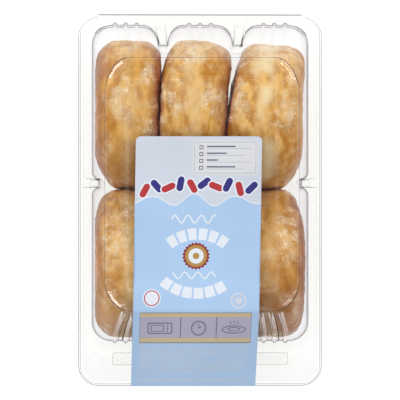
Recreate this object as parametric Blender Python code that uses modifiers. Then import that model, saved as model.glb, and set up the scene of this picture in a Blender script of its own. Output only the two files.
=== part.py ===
# A clear formed clamshell pack that holds six ring doughnuts on edge, with a printed paper
# label bent over its lid. Metres, +Z up. +Y runs towards the hinge, and the origin is on the
# table under the middle of the pack.
import math
import random

import bmesh
import bpy
from mathutils import Matrix, Vector, noise

# Driving dimensions of the pack
HALF_WIDTH = 0.071
HINGE_Y = 0.1078
LID_EDGE_Y = 0.1068
FRONT_EDGE_Y = -0.1081
PARTING_Z = 0.046
LID_HEIGHT = 0.045
SHEET = 0.0006
SHEET_GAP = 0.0003
FLANGE_CORNER = 0.012

# The hollow for the food, where it meets the flange
CAVITY_HALF = 0.0624
CAVITY_BACK_Y = 0.1017
CAVITY_FRONT_Y = -0.0817
CAVITY_CORNER = 0.011
LOBE_PITCH = 0.0434
LOBE_HALF = 0.0189
LOBE_CORNER = 0.009
VALLEY_BACK = 0.0117
VALLEY_FRONT = 0.0055
NOTCH_Y = 0.0098
NOTCH_HALF = 0.0027
NOTCH_DEPTH = 0.004
NOTCH_CORNER = 0.004

# The flat top of the lid, which the foot of the tray nearly repeats
TOP_HALF = 0.056
FOOT_HALF = 0.0582
TOP_BACK_Y = 0.082
TOP_FRONT_Y = -0.0638
TOP_CORNER = 0.0145
PANEL_HALF = 0.044
PANEL_BACK_Y = 0.0707
PANEL_FRONT_Y = -0.0531
PANEL_CORNER = 0.0035
PANEL_STEP = 0.0012
SIDE_CURVE = 3.0
END_CURVE = 2.3
WALL_LEVELS = (0.0, 0.18, 0.38, 0.56, 0.72, 0.85, 0.95, 1.0)

# The rolled edge of the lid, which the tray's flange lies inside
LIP_RUN = 0.0017
LIP_DROP = 0.0012
LIP_FADE_Y = (0.090, 0.102)
TRAY_INSET = 0.0023

# The closing rib along the front and the bead of the living hinge
LOCK_HALF = 0.0513
LOCK_Y = (-0.0960, -0.0884)
LOCK_HEIGHT = 0.0026
LOCK_ROUND = 0.0012
BEAD_RADIUS = 0.0007
BEAD_HALF = 0.0605

# The label, as a strip along its own path over the lid
LABEL_HALF = 0.0362
LABEL_SHEET = 0.0003
LABEL_BACK_Y = 0.0365
LABEL_SHIFT = (-0.0017, -0.0041)
LABEL_LIFT_Y = (-0.0416, -0.0520)
LABEL_BEND = ((-0.0620, 0.0), (-0.0638, -0.0003), (-0.0654, -0.0014))
LABEL_END = ((0.0032, 0.0022), (0.0014, 0.0006), (-0.0001, -0.0008))

# The doughnuts, which stand on edge with their axes along X. Each has the place of its
# middle in x and y, its radius and half its thickness. The first three are the back row.
RINGS = (
    (-0.0421, 0.0502, 0.0433, 0.0177),
    (-0.0047, 0.0502, 0.0432, 0.0189),
    (0.0373, 0.0488, 0.0421, 0.0216),
    (-0.0412, -0.0369, 0.0432, 0.0189),
    (-0.0015, -0.0371, 0.0430, 0.0186),
    (0.0398, -0.0370, 0.0431, 0.0203),
)
RING_FOOT_Z = 0.0014
HOLE_RADIUS = 0.0092
RING_SQUARENESS = 2.5
RING_STEPS = 30
TUBE_STEPS = 11
RING_UNEVEN = 0.0006
RING_WAVES = 1.3
SEED = 7

COLOURS = {
    "clear_plastic": (0.80, 0.83, 0.84, 0.35),
    "label_paper": (0.50, 0.66, 0.86, 1.0),
    "doughnut": (0.62, 0.33, 0.12, 1.0),
}


def clear_scene():
    for ob in list(bpy.data.objects):
        bpy.data.objects.remove(ob, do_unlink=True)


def new_collection(name):
    group = bpy.data.collections.new(name)
    bpy.context.scene.collection.children.link(group)
    return group


def principled(name, colour, roughness):
    mat = bpy.data.materials.new(name)
    mat.use_nodes = True
    shader = mat.node_tree.nodes["Principled BSDF"]
    shader.inputs["Base Color"].default_value = (*colour[:3], 1.0)
    shader.inputs["Roughness"].default_value = roughness
    shader.inputs["Metallic"].default_value = 0.0
    shader.inputs["Alpha"].default_value = colour[3]
    return mat


def add_object(name, mesh, group, mat):
    ob = bpy.data.objects.new(name, mesh)
    group.objects.link(ob)
    mesh.materials.append(mat)
    return ob


def bend(centre, radii, start, end, steps):
    """Points of a quarter of an ellipse, with its angles in degrees from +X."""
    turns = [math.radians(start + (end - start) * i / steps) for i in range(steps + 1)]
    return [(centre[0] + radii[0] * math.cos(a), centre[1] + radii[1] * math.sin(a)) for a in turns]


def lobed_end(end_y, valley, way):
    """The lobed end of the hollow from its middle to the side wall, for x above 0."""
    floor_y = end_y - way * valley
    reach = LOBE_HALF - LOBE_CORNER
    radii = (LOBE_CORNER, way * valley)
    points = bend((reach, floor_y), radii, 90, 0, 5)
    points += bend((LOBE_PITCH - reach, floor_y), radii, 180, 90, 5)
    pairs = [(p, (p[0], end_y)) for p in points]
    corner = (CAVITY_HALF - CAVITY_CORNER, end_y - way * CAVITY_CORNER)
    for p in bend(corner, (CAVITY_CORNER, way * CAVITY_CORNER), 90, 0, 5):
        pairs.append((p, p))
    return pairs


def side_notch():
    """The shallow notch in the side wall between the two rows, for x above 0."""
    floor_x = CAVITY_HALF - NOTCH_DEPTH
    upper = bend((floor_x, NOTCH_Y + NOTCH_HALF + NOTCH_CORNER), (NOTCH_DEPTH, -NOTCH_CORNER), 0, 90, 3)
    lower = bend((floor_x, NOTCH_Y - NOTCH_HALF - NOTCH_CORNER), (NOTCH_DEPTH, NOTCH_CORNER), 90, 0, 3)
    return [(p, (CAVITY_HALF, p[1])) for p in upper + lower]


def cavity_outline():
    """Pairs of a point on the hollow's outline and its place on the same outline unlobed."""
    half = lobed_end(CAVITY_BACK_Y, VALLEY_BACK, 1)
    half += side_notch()
    half += lobed_end(CAVITY_FRONT_Y, VALLEY_FRONT, -1)[::-1]
    mirrored = [((-p[0], p[1]), (-q[0], q[1])) for p, q in reversed(half)]
    return half + mirrored


def round_box(base, half, back_y, front_y, radius):
    """The point of a rounded rectangle that answers to a point of the unlobed outline."""
    share = (base[1] - CAVITY_FRONT_Y) / (CAVITY_BACK_Y - CAVITY_FRONT_Y)
    x = base[0] * half / CAVITY_HALF
    y = front_y + (back_y - front_y) * share
    cx = max(-half + radius, min(half - radius, x))
    cy = max(front_y + radius, min(back_y - radius, y))
    away = Vector((x - cx, y - cy)).normalized() * radius
    return cx + away.x, cy + away.y


def wall_rings(outline, flange_z, end_half, end_z):
    """The curved wall from the flange to the flat top or to the foot."""
    rings = []
    for level in WALL_LEVELS:
        ring = []
        for point, base in outline:
            top = round_box(base, end_half, TOP_BACK_Y, TOP_FRONT_Y, TOP_CORNER)
            x = point[0] + (top[0] - point[0]) * level**SIDE_CURVE
            y = point[1] + (top[1] - point[1]) * level**END_CURVE
            ring.append((x, y, flange_z + (end_z - flange_z) * level))
        rings.append(ring)
    return rings


def flat_ring(outline, half, back_y, front_y, radius, z):
    return [(*round_box(base, half, back_y, front_y, radius), z) for _, base in outline]


def skin(rings):
    """A mesh of quads between rings of points, closed by a flat face on the last ring."""
    bm = bmesh.new()
    rows = [[bm.verts.new(p) for p in ring] for ring in rings]
    for outer, inner in zip(rows, rows[1:]):
        for i, vert in enumerate(outer):
            j = (i + 1) % len(outer)
            bm.faces.new((vert, outer[j], inner[j], inner[i]))
    bm.faces.new(rows[-1])
    bmesh.ops.recalc_face_normals(bm, faces=bm.faces)
    return bm


def formed_sheet(name, rings, up, group, mat):
    """A formed sheet whose drawn surface is its outer skin, facing up or down."""
    bm = skin(rings)
    bm.faces.ensure_lookup_table()
    if (bm.faces[-1].normal.z > 0) != up:
        bmesh.ops.reverse_faces(bm, faces=bm.faces)
    mesh = bpy.data.meshes.new(name)
    bm.to_mesh(mesh)
    bm.free()
    mesh.shade_smooth()
    mesh.set_sharp_from_angle(angle=math.radians(35))
    ob = add_object(name, mesh, group, mat)
    thick = ob.modifiers.new("sheet", "SOLIDIFY")
    thick.thickness = SHEET
    thick.offset = -1
    thick.use_even_offset = True
    return ob


def lip_fall(y):
    """How far the lid's edge turns down at y: all the way round, except at the hinge."""
    start, end = LIP_FADE_Y
    return LIP_DROP * max(0.0, min(1.0, (end - y) / (end - start)))


def lid_rings(outline):
    flange_z = PARTING_Z + SHEET_GAP / 2 + SHEET
    top_z = PARTING_Z + LID_HEIGHT
    edge = []
    for _, base in outline:
        x, y = round_box(base, HALF_WIDTH, LID_EDGE_Y, FRONT_EDGE_Y, FLANGE_CORNER)
        edge.append((x, y, flange_z - lip_fall(y)))
    bend_line = (HALF_WIDTH - LIP_RUN, LID_EDGE_Y - LIP_RUN / 2, FRONT_EDGE_Y + LIP_RUN)
    rings = [edge, flat_ring(outline, *bend_line, FLANGE_CORNER - LIP_RUN, flange_z)]
    rings += wall_rings(outline, flange_z, TOP_HALF, top_z)
    panel = (PANEL_HALF, PANEL_BACK_Y, PANEL_FRONT_Y)
    rings.append(flat_ring(outline, *panel, PANEL_CORNER, top_z))
    step = (PANEL_HALF - PANEL_STEP, PANEL_BACK_Y - PANEL_STEP, PANEL_FRONT_Y + PANEL_STEP)
    rings.append(flat_ring(outline, *step, PANEL_CORNER, top_z - PANEL_STEP))
    return rings


def tray_rings(outline):
    flange_z = PARTING_Z - SHEET_GAP / 2 - SHEET
    edge = (HALF_WIDTH - TRAY_INSET, LID_EDGE_Y, FRONT_EDGE_Y + TRAY_INSET)
    rings = [flat_ring(outline, *edge, FLANGE_CORNER - TRAY_INSET, flange_z)]
    return rings + wall_rings(outline, flange_z, FOOT_HALF, 0.0)


def lock_rib(group):
    """The raised bar across the lid's front flange, as a guide that is joined to the lid."""
    base_z = PARTING_Z + SHEET_GAP / 2 + SHEET / 2
    top_z = PARTING_Z + SHEET_GAP / 2 + SHEET + LOCK_HEIGHT
    size = (2 * LOCK_HALF, LOCK_Y[1] - LOCK_Y[0], top_z - base_z)
    bm = bmesh.new()
    bmesh.ops.create_cube(bm, size=1.0)
    bmesh.ops.scale(bm, vec=size, verts=bm.verts)
    top_edges = [e for e in bm.edges if all(v.co.z > 0 for v in e.verts)]
    bmesh.ops.bevel(bm, geom=top_edges, offset=LOCK_ROUND, segments=2, affect="EDGES", profile=0.5)
    mesh = bpy.data.meshes.new("lock_rib")
    bm.to_mesh(mesh)
    bm.free()
    rib = bpy.data.objects.new("lock_rib", mesh)
    rib.location = (0.0, (LOCK_Y[0] + LOCK_Y[1]) / 2, (base_z + top_z) / 2)
    rib.hide_render = True
    rib.display_type = "WIRE"
    group.objects.link(rib)
    return rib


def label_path():
    """The label's underside from its back edge to the front of the flange, as (y, z)."""
    panel_z = PARTING_Z + LID_HEIGHT - PANEL_STEP + SHEET_GAP
    rim_z = PARTING_Z + LID_HEIGHT + SHEET_GAP
    flange_z = PARTING_Z + SHEET_GAP / 2 + SHEET + SHEET_GAP
    path = [(LABEL_BACK_Y, panel_z), (LABEL_LIFT_Y[0], panel_z), (LABEL_LIFT_Y[1], rim_z)]
    path += [(y, rim_z + fall) for y, fall in LABEL_BEND]
    path += [(FRONT_EDGE_Y + dy, flange_z + dz) for dy, dz in LABEL_END]
    return path


def add_label(group, mat):
    bm = bmesh.new()
    edges = []
    for y, z in label_path():
        share = (LABEL_BACK_Y - y) / (LABEL_BACK_Y - FRONT_EDGE_Y)
        middle = LABEL_SHIFT[0] + (LABEL_SHIFT[1] - LABEL_SHIFT[0]) * share
        edges.append([bm.verts.new((middle + side * LABEL_HALF, y, z)) for side in (-1, 1)])
    for back, front in zip(edges, edges[1:]):
        bm.faces.new((back[0], front[0], front[1], back[1]))
    mesh = bpy.data.meshes.new("label")
    bm.to_mesh(mesh)
    bm.free()
    ob = add_object("label", mesh, group, mat)
    thick = ob.modifiers.new("paper", "SOLIDIFY")
    thick.thickness = LABEL_SHEET
    thick.offset = 1
    return ob


def add_bead(group, mat):
    bm = bmesh.new()
    turn = Matrix.Rotation(math.radians(90), 3, "Y")
    bmesh.ops.create_cone(
        bm,
        cap_ends=True,
        segments=16,
        radius1=BEAD_RADIUS,
        radius2=BEAD_RADIUS,
        depth=2 * BEAD_HALF,
    )
    bmesh.ops.rotate(bm, cent=(0, 0, 0), matrix=turn, verts=bm.verts)
    mesh = bpy.data.meshes.new("hinge_bead")
    bm.to_mesh(mesh)
    bm.free()
    ob = add_object("hinge_bead", mesh, group, mat)
    ob.location = (0.0, HINGE_Y, PARTING_Z)
    return ob


def superellipse(angle, across, along):
    """A point of a rounded-square cross-section."""
    power = 2 / RING_SQUARENESS
    c = math.cos(angle)
    s = math.sin(angle)
    return (
        across * math.copysign(abs(c) ** power, c),
        along * math.copysign(abs(s) ** power, s),
    )


def ring_mesh(name, ring_radius, half_thick, draw):
    """One doughnut about the X axis, a little uneven in its outline and its thickness."""
    bpy.ops.mesh.primitive_torus_add(
        major_segments=RING_STEPS,
        minor_segments=TUBE_STEPS,
        major_radius=1.0,
        minor_radius=0.25,
    )
    ob = bpy.context.object
    mesh = ob.data
    mesh.name = name
    middle = (ring_radius + HOLE_RADIUS) / 2
    tube = (ring_radius - HOLE_RADIUS) / 2
    offset = Vector((draw.uniform(0, 50), draw.uniform(0, 50), draw.uniform(0, 50)))
    for vert in mesh.vertices:
        x, y, z = vert.co
        turn = math.atan2(y, x)
        angle = math.atan2(z, math.hypot(x, y) - 1.0)
        radial, axial = superellipse(angle, tube, half_thick)
        spot = Vector((math.cos(turn), math.sin(turn), math.sin(angle) * 0.7))
        swell = RING_UNEVEN * noise.noise(spot * RING_WAVES + offset)
        radius = middle + radial * (1 + swell / tube)
        vert.co = (axial * (1 + swell / half_thick), radius * math.cos(turn), radius * math.sin(turn))
    bpy.data.objects.remove(ob, do_unlink=True)
    mesh.shade_smooth()
    return mesh


def add_doughnuts(group):
    draw = random.Random(SEED)
    for count, (x, y, radius, half_thick) in enumerate(RINGS, 1):
        name = f"doughnut_{count}"
        mat = principled(name, COLOURS["doughnut"], 0.5)
        ob = add_object(name, ring_mesh(name, radius, half_thick, draw), group, mat)
        ob.location = (x, y, RING_FOOT_Z + radius)


def main():
    clear_scene()
    pack = new_collection("doughnut_box")
    guides = new_collection("guides")
    outline = cavity_outline()

    tray_plastic = principled("tray_plastic", COLOURS["clear_plastic"], 0.1)
    formed_sheet("base_tray", tray_rings(outline), False, pack, tray_plastic)

    lid_plastic = principled("lid_plastic", COLOURS["clear_plastic"], 0.1)
    lid = formed_sheet("lid", lid_rings(outline), True, pack, lid_plastic)
    joined = lid.modifiers.new("lock_rib", "BOOLEAN")
    joined.operation = "UNION"
    joined.object = lock_rib(guides)

    add_label(pack, principled("label_paper", COLOURS["label_paper"], 0.6))
    add_bead(pack, principled("bead_plastic", COLOURS["clear_plastic"], 0.2))
    add_doughnuts(pack)


main()
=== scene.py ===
# A clear clamshell of six glazed ring doughnuts with a printed paper label over its lid.
# The frame's solids give every place and size; this file gives each surface its looks.
import random
from math import copysign, cos, exp, log1p, pi, radians, sin

import bmesh
import bpy
from mathutils import Matrix, Vector, geometry
from mathutils.noise import noise


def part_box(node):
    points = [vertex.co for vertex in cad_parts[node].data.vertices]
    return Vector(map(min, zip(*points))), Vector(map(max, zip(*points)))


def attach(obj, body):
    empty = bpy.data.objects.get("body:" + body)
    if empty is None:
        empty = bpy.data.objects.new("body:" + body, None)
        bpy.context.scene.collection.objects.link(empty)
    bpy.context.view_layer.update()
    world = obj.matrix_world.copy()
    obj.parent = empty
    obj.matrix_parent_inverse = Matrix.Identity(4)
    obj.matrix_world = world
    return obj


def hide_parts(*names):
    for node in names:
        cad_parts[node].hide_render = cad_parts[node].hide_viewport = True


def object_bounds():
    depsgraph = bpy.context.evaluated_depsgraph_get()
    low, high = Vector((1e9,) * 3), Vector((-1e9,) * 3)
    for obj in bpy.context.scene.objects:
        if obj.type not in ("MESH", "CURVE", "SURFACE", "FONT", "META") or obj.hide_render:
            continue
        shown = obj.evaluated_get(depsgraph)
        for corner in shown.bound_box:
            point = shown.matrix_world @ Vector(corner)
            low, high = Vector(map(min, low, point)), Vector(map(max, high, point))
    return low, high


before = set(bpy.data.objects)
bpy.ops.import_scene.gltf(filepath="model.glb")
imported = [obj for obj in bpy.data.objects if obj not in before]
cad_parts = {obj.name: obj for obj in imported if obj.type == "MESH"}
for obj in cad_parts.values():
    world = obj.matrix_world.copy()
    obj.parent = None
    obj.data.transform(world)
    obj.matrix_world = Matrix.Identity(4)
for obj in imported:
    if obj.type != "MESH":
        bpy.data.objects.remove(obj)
CAD_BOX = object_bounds()

MM = 0.001

# The pack, from the frame's solids
LID_LOW, LID_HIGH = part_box("lid")
TRAY_LOW, TRAY_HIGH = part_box("base_tray")
LID_FLANGE_Z = 46.75 * MM
TRAY_FLANGE_Z = 45.25 * MM
LID_TOP_Z = 91 * MM
FILM = 0.4 * MM

# The hollow for the food, where it meets the flange
CAVITY_HALF = 62.4 * MM
CAVITY_BACK_Y = 101.7 * MM
CAVITY_FRONT_Y = -81.7 * MM
CAVITY_CORNER = 11 * MM
LOBE_PITCH = 43.4 * MM
LOBE_HALF = 18.9 * MM
LOBE_CORNER = 9 * MM
VALLEY_BACK = 11.7 * MM
VALLEY_FRONT = 5.5 * MM
NOTCH_Y = 9.8 * MM
NOTCH_HALF = 2.7 * MM
NOTCH_DEPTH = 4 * MM
RIB_PITCH = 6.3 * MM
RIB_WIDTH = 2.7 * MM
RIB_HEIGHT = 1.3 * MM
# Spacing of the outline's points over the ribs and along the plain sides
RIBBED_STEP = 0.34 * MM
SIDE_STEP = 5 * MM

# The lid's flat top, the tray's foot and the sunk panel for the label. The top's corner radii
# are across, along at the back and along at the front.
TOP_BACK_Y = 82 * MM
TOP_FRONT_Y = -63.8 * MM
TOP_HALF = 56 * MM
FOOT_HALF = 58.2 * MM
TOP_CORNERS = (13.5 * MM, 21 * MM, 17 * MM)
PANEL_HALF = 44 * MM
PANEL_BACK_Y = 70.7 * MM
PANEL_FRONT_Y = -53.1 * MM
PANEL_CORNER = 3.5 * MM
PANEL_STEP = 1.2 * MM
# The panel's soft bend: how far in, in mm, and what share of the step it has sunk there
PANEL_RUNS = (-0.4, 0.0, 0.3, 0.65, 1.0, 1.35, 1.7, 2.1)
PANEL_SINKS = (0.0, 0.02, 0.1, 0.34, 0.66, 0.9, 0.98, 1.0)

# The two flanges
FLANGE_CORNER = 12 * MM
TRAY_CORNER = FLANGE_CORNER - 2.3 * MM
RIM_BACK_Y = 107.3 * MM
# The lid's rolled edge: how far in and how far down, in mm, fading out toward the hinge
EDGE_RUNS = (0.0, 0.06, 0.3, 0.8, 1.1, 1.36, 2.1)
EDGE_FALLS = (1.2, 0.75, 0.34, 0.1, 0.04, 0.0, 0.0)
EDGE_FADES = (90 * MM, 102 * MM)
# The small bend at the wall's foot: how far out and how far up, in bend radii
WALL_BEND = ((1.4, 0.0), (1.0, 0.0), (0.62, 0.08), (0.3, 0.3), (0.08, 0.62))
WALL_RINGS = 26
# Bars pressed in the lid's flange: middle and half width, back and front, and height, in mm
FLANGE_BARS = (
    ("lock_bar", 0.0, 51.3, -88.4, -96.0, 2.6),
    ("mould_mark", 58.5, 2.1, -83.7, -93.6, 0.5),
)
# The hinge's fold stands behind the bead's middle, so that the open lid clears it
HINGE_BACK = 0.34 * MM
HINGE_TALL = 1.15
HINGE_TURNS = 120
HINGE_SIDES = 12

# One PET sheet, formed in five ways: its colour head-on and on steep walls, gloss and haze. The grey on
# steep walls is painted shade for the darkening that refraction gives. A tight bend or crimp shows as a
# grey line of that painted shade, ribs look milky and a deep draw is the clearest.
FILMS = (
    ("formed_clear_PET", "#FDFDFC", "#F4F3F4", 0.1, 0.032),
    ("PET_tight_bend_painted_shade", "#C8C4C6", "#929090", 0.12, 0.032),
    ("PET_crimped_edge_painted_shade", "#B4B0B2", "#75716F", 0.1, 0.032),
    ("PET_stretched_over_ribs", "#FCFAF8", "#F8F5F2", 0.4, 0.27),
    ("PET_drawn_thin", "#FFFFFF", "#C2BFC1", 0.1, 0.032),
)
CLEAR, BEND_SHADE, CRIMP_SHADE, HAZY, DRAWN = range(5)
# The strips between the rings of a sheet, counted in from its rim, that take a bend's or crimp's painted
# shade
LID_BENDS = {0: BEND_SHADE, 1: BEND_SHADE, 4: CRIMP_SHADE, 9: BEND_SHADE, 38: BEND_SHADE}
TRAY_BENDS = {4: BEND_SHADE}
RIM_STRIPS = 6
BACK_FOLD = 8
WALL_STRIPS = range(13, 37)
HAZY_FROM = 20
# Where the rim meets the hinge, and where the back fold and the front wall's ribs are
HINGE_Y = 101 * MM
HINGE_HALF = 60 * MM
BACK_FOLD_Y = 97 * MM
FRONT_WALL_Y = -60 * MM
# How far a rib's haze and its flanks of painted shade reach from its middle
HAZE_REACH = 1.75 * MM
FLANK_REACH = 2.15 * MM

# The camera looks almost straight down, from a little to the left and in front
CAMERA_AT = Vector((-0.067, -0.015, 2.696))
CAMERA_TO = Vector((-0.00006, 0.00023, 0.046))
FRAME_WIDTH = 233.2 * MM
FLOOR_BELOW = 0.0002
SOFTBOX_Z = 1.0


def linear(code):
    """An sRGB hex colour as the linear numbers that the shaders take."""
    parts = [int(code[i:i + 2], 16) / 255 for i in (1, 3, 5)]
    return tuple(p / 12.92 if p <= 0.04045 else ((p + 0.055) / 1.055) ** 2.4 for p in parts) + (1.0,)


def add_node(tree, kind, inputs=None, **settings):
    """Add a node with its settings. Each input takes a plain value or a link from a socket."""
    made = tree.nodes.new(kind)
    for name, value in settings.items():
        setattr(made, name, value)
    for socket, value in (inputs or {}).items():
        if isinstance(value, bpy.types.NodeSocket):
            tree.links.new(value, made.inputs[socket])
        else:
            made.inputs[socket].default_value = value
    return made


def new_material(name):
    mat = bpy.data.materials.new(name)
    mat.use_nodes = True
    mat.node_tree.nodes.clear()
    output = add_node(mat.node_tree, "ShaderNodeOutputMaterial")
    return mat, mat.node_tree, output


def finished_mesh(name, bm):
    mesh = bpy.data.meshes.new(name)
    bm.to_mesh(mesh)
    bm.free()
    return mesh


def joined_rings(rings):
    """Smooth quads between closed rings of points, shut by one flat face inside the last."""
    bm = bmesh.new()
    rows = [[bm.verts.new(p) for p in ring] for ring in rings]
    for outer, inner in zip(rows, rows[1:]):
        for i, vert in enumerate(outer):
            j = (i + 1) % len(outer)
            bm.faces.new((vert, outer[j], inner[j], inner[i])).smooth = True
    bm.faces.new(rows[-1])
    return bm


def new_object(name, data):
    ob = bpy.data.objects.new(name, data)
    bpy.context.scene.collection.objects.link(ob)
    return ob


def new_piece(name, mesh, body):
    ob = new_object(name, mesh)
    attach(ob, body)
    return ob


def smooth(low, high, value):
    """Rise smoothly from 0 at low to 1 at high."""
    share = max(0.0, min(1.0, (value - low) / (high - low)))
    return share * share * (3 - 2 * share)


# Materials

def clear_pet(name, clear, steep, mirror, haze):
    """Thermoformed PET film: clear head-on, with painted shade that turns it grey where a steep wall is
    seen through its length, in place of the darkening that refraction gives there, with a mirror gloss on
    its bends and a faint haze."""
    mat, tree, output = new_material(name)
    facing = add_node(tree, "ShaderNodeLayerWeight", {"Blend": 0.5}).outputs["Facing"]
    grazing = add_node(tree, "ShaderNodeMath", {0: facing, 1: 2.0}, operation="POWER").outputs[0]
    tint = add_node(
        tree, "ShaderNodeMix", {0: grazing, 6: linear(clear), 7: linear(steep)}, data_type="RGBA"
    ).outputs[2]
    # Gloss is strongest on the leaning walls. On upright ones it would only mirror the table, so
    # there it falls again, and the haze of the level film fades out too.
    leaning = add_node(tree, "ShaderNodeMath", {0: facing, 1: 0.35}, operation="PINGPONG").outputs[0]
    slope = add_node(tree, "ShaderNodeMath", {0: leaning, 1: 2.0}, operation="POWER").outputs[0]
    level = add_node(
        tree, "ShaderNodeMath", {0: facing, 1: -haze, 2: haze}, operation="MULTIPLY_ADD"
    ).outputs[0]
    shine = add_node(
        tree, "ShaderNodeMath", {0: slope, 1: mirror, 2: level}, operation="MULTIPLY_ADD"
    ).outputs[0]
    place = add_node(tree, "ShaderNodeTexCoord").outputs["Object"]
    draw_marks = add_node(
        tree, "ShaderNodeTexNoise", {"Vector": place, "Scale": 1 / (14 * MM), "Detail": 2.0}
    ).outputs["Fac"]
    ripple = add_node(
        tree, "ShaderNodeBump", {"Height": draw_marks, "Strength": 0.25, "Distance": 0.5 * MM}
    ).outputs["Normal"]
    through = add_node(tree, "ShaderNodeBsdfTransparent", {"Color": tint}).outputs[0]
    gloss = add_node(
        tree, "ShaderNodeBsdfGlossy", {"Color": (1, 1, 1, 1), "Roughness": 0.06, "Normal": ripple}
    ).outputs[0]
    film = add_node(tree, "ShaderNodeMixShader", {0: shine, 1: through, 2: gloss}).outputs[0]
    tree.links.new(film, output.inputs["Surface"])
    return mat


def glazed_crust(name, golden, brown):
    """Fried yeast dough under sugar glaze: golden, browner at its flat sides, with painted shade that
    darkens its right sides and front end and is darkest in the creases where it is pressed to its
    neighbour, with a pale band where the two fried halves meet. The dried glaze is a translucent whitish
    film, wrinkled where it lies thick."""
    mat, tree, output = new_material(name)
    place = add_node(tree, "ShaderNodeTexCoord").outputs["Object"]
    browning_and_shade, pale_band, glaze, crease_shade = (
        add_node(tree, "ShaderNodeAttribute", attribute_name=key).outputs["Fac"]
        for key in ("browning_and_shade", "pale_band", "glaze", "crease_shade")
    )
    # The dough is drawn out around the ring, so its marks are longer that way than across it
    drawn = add_node(
        tree, "ShaderNodeVectorMath", {0: place, 1: (1.0, 0.55, 0.55)}, operation="MULTIPLY"
    ).outputs["Vector"]
    # Mottle of 6.5 mm in the dough, slow folds of 3 mm, patches of 6 mm and pores of about 1 mm
    mottle, streaks, patches, pores = (
        add_node(
            tree,
            "ShaderNodeTexNoise",
            {
                "Vector": where,
                "Scale": 1 / (size * MM),
                "Detail": detail,
                "Roughness": rough,
                "Distortion": twist,
            },
        ).outputs["Fac"]
        for where, size, detail, rough, twist in (
            (drawn, 6.5, 4.0, 0.55, 0.0),
            (drawn, 3.2, 2.0, 0.5, 0.7),
            (place, 6, 3.0, 0.5, 0.0),
            (place, 1.1, 2.0, 0.6, 0.0),
        )
    )
    # Wrinkled glaze dries in nested loops, which follow levels of the folds' noise
    loops = add_node(tree, "ShaderNodeMath", {0: streaks, 1: 0.05}, operation="PINGPONG").outputs[0]
    # The loops' crests and where they stand out, deeper gold and brown grain in the dough, how
    # much the glaze hides, its specks, and its gloss, which grows with its thickness
    ridge, kept, spread, grain, film, speck, rough = (
        add_node(tree, "ShaderNodeMapRange", {0: value, 1: low, 2: high, 3: start, 4: end}).outputs[0]
        for value, low, high, start, end in (
            (loops, 0.022, 0.044, 0.0, 1.0),
            (patches, 0.4, 0.58, 0.25, 1.0),
            (mottle, 0.42, 0.6, 0.0, 1.0),
            (streaks, 0.34, 0.5, 0.3, 0.0),
            (patches, 0.42, 0.6, 0.08, 0.48),
            (pores, 0.38, 0.62, 0.8, 1.1),
            (glaze, 0.0, 0.6, 0.34, 0.13),
        )
    )
    crest = add_node(tree, "ShaderNodeMath", {0: ridge, 1: kept}, operation="MULTIPLY").outputs[0]
    crust = linear(golden)
    # The brown tone is the fried sides' own browning and also painted shade on the right sides and front
    # ends. The last tone is painted shade in the creases beside a neighbour.
    tones = (
        (spread, "#BA7A1C"),
        (grain, "#B4782A"),
        (browning_and_shade, brown),
        (pale_band, "#EED8AC"),
        (crease_shade, "#A04A26"),
    )
    for share, tone in tones:
        crust = add_node(
            tree, "ShaderNodeMix", {0: share, 6: crust, 7: linear(tone)}, data_type="RGBA"
        ).outputs[2]
    ridged = add_node(
        tree, "ShaderNodeMath", {0: crest, 1: 0.9, 2: film}, operation="MULTIPLY_ADD"
    ).outputs[0]
    speckled = add_node(tree, "ShaderNodeMath", {0: ridged, 1: speck}, operation="MULTIPLY").outputs[0]
    cover = add_node(tree, "ShaderNodeMath", {0: speckled, 1: glaze}, operation="MULTIPLY").outputs[0]
    colour = add_node(
        tree, "ShaderNodeMix", {0: cover, 6: crust, 7: linear("#FFE8C6")}, data_type="RGBA"
    ).outputs[2]
    fold = add_node(tree, "ShaderNodeMath", {0: crest, 1: glaze}, operation="MULTIPLY").outputs[0]
    folded = add_node(
        tree, "ShaderNodeBump", {"Height": fold, "Strength": 0.8, "Distance": 0.32 * MM}
    ).outputs["Normal"]
    relief = add_node(
        tree, "ShaderNodeBump", {"Height": pores, "Strength": 0.4, "Distance": 0.12 * MM, "Normal": folded}
    ).outputs["Normal"]
    body = add_node(
        tree,
        "ShaderNodeBsdfPrincipled",
        {
            "Base Color": colour,
            "Roughness": rough,
            "Normal": relief,
            "IOR": 1.45,
            "Specular Tint": linear("#FFDDB8"),
        },
    ).outputs[0]
    tree.links.new(body, output.inputs["Surface"])
    return mat


def printed_paper(name, ink):
    """Offset ink on coated label paper: even colour with a faint fibre mottle and a satin face."""
    mat, tree, output = new_material(name)
    place = add_node(tree, "ShaderNodeTexCoord").outputs["Object"]
    fibre = add_node(
        tree, "ShaderNodeTexNoise", {"Vector": place, "Scale": 1 / (0.9 * MM), "Detail": 3.0}
    ).outputs["Fac"]
    wave = add_node(
        tree, "ShaderNodeTexNoise", {"Vector": place, "Scale": 1 / (35 * MM), "Detail": 1.0}
    ).outputs["Fac"]
    shade = add_node(tree, "ShaderNodeMapRange", {0: wave, 1: 0.3, 2: 0.7, 3: 0.0, 4: 0.3}).outputs[0]
    base = linear(ink)
    darker = tuple(c * 0.8 for c in base[:3]) + (1.0,)
    colour = add_node(tree, "ShaderNodeMix", {0: shade, 6: base, 7: darker}, data_type="RGBA").outputs[2]
    relief = add_node(
        tree, "ShaderNodeBump", {"Height": fibre, "Strength": 0.15, "Distance": 0.05 * MM}
    ).outputs["Normal"]
    body = add_node(
        tree,
        "ShaderNodeBsdfPrincipled",
        {"Base Color": colour, "Normal": relief, "Roughness": 0.42, "IOR": 1.5},
    ).outputs[0]
    tree.links.new(body, output.inputs["Surface"])
    return mat


# The formed sheets

def bend(centre, radii, start, end, steps):
    """Points of a piece of an ellipse, with its angles in degrees from +X."""
    turns = [radians(start + (end - start) * i / steps) for i in range(steps + 1)]
    return [(centre[0] + radii[0] * cos(a), centre[1] + radii[1] * sin(a)) for a in turns]


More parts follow.
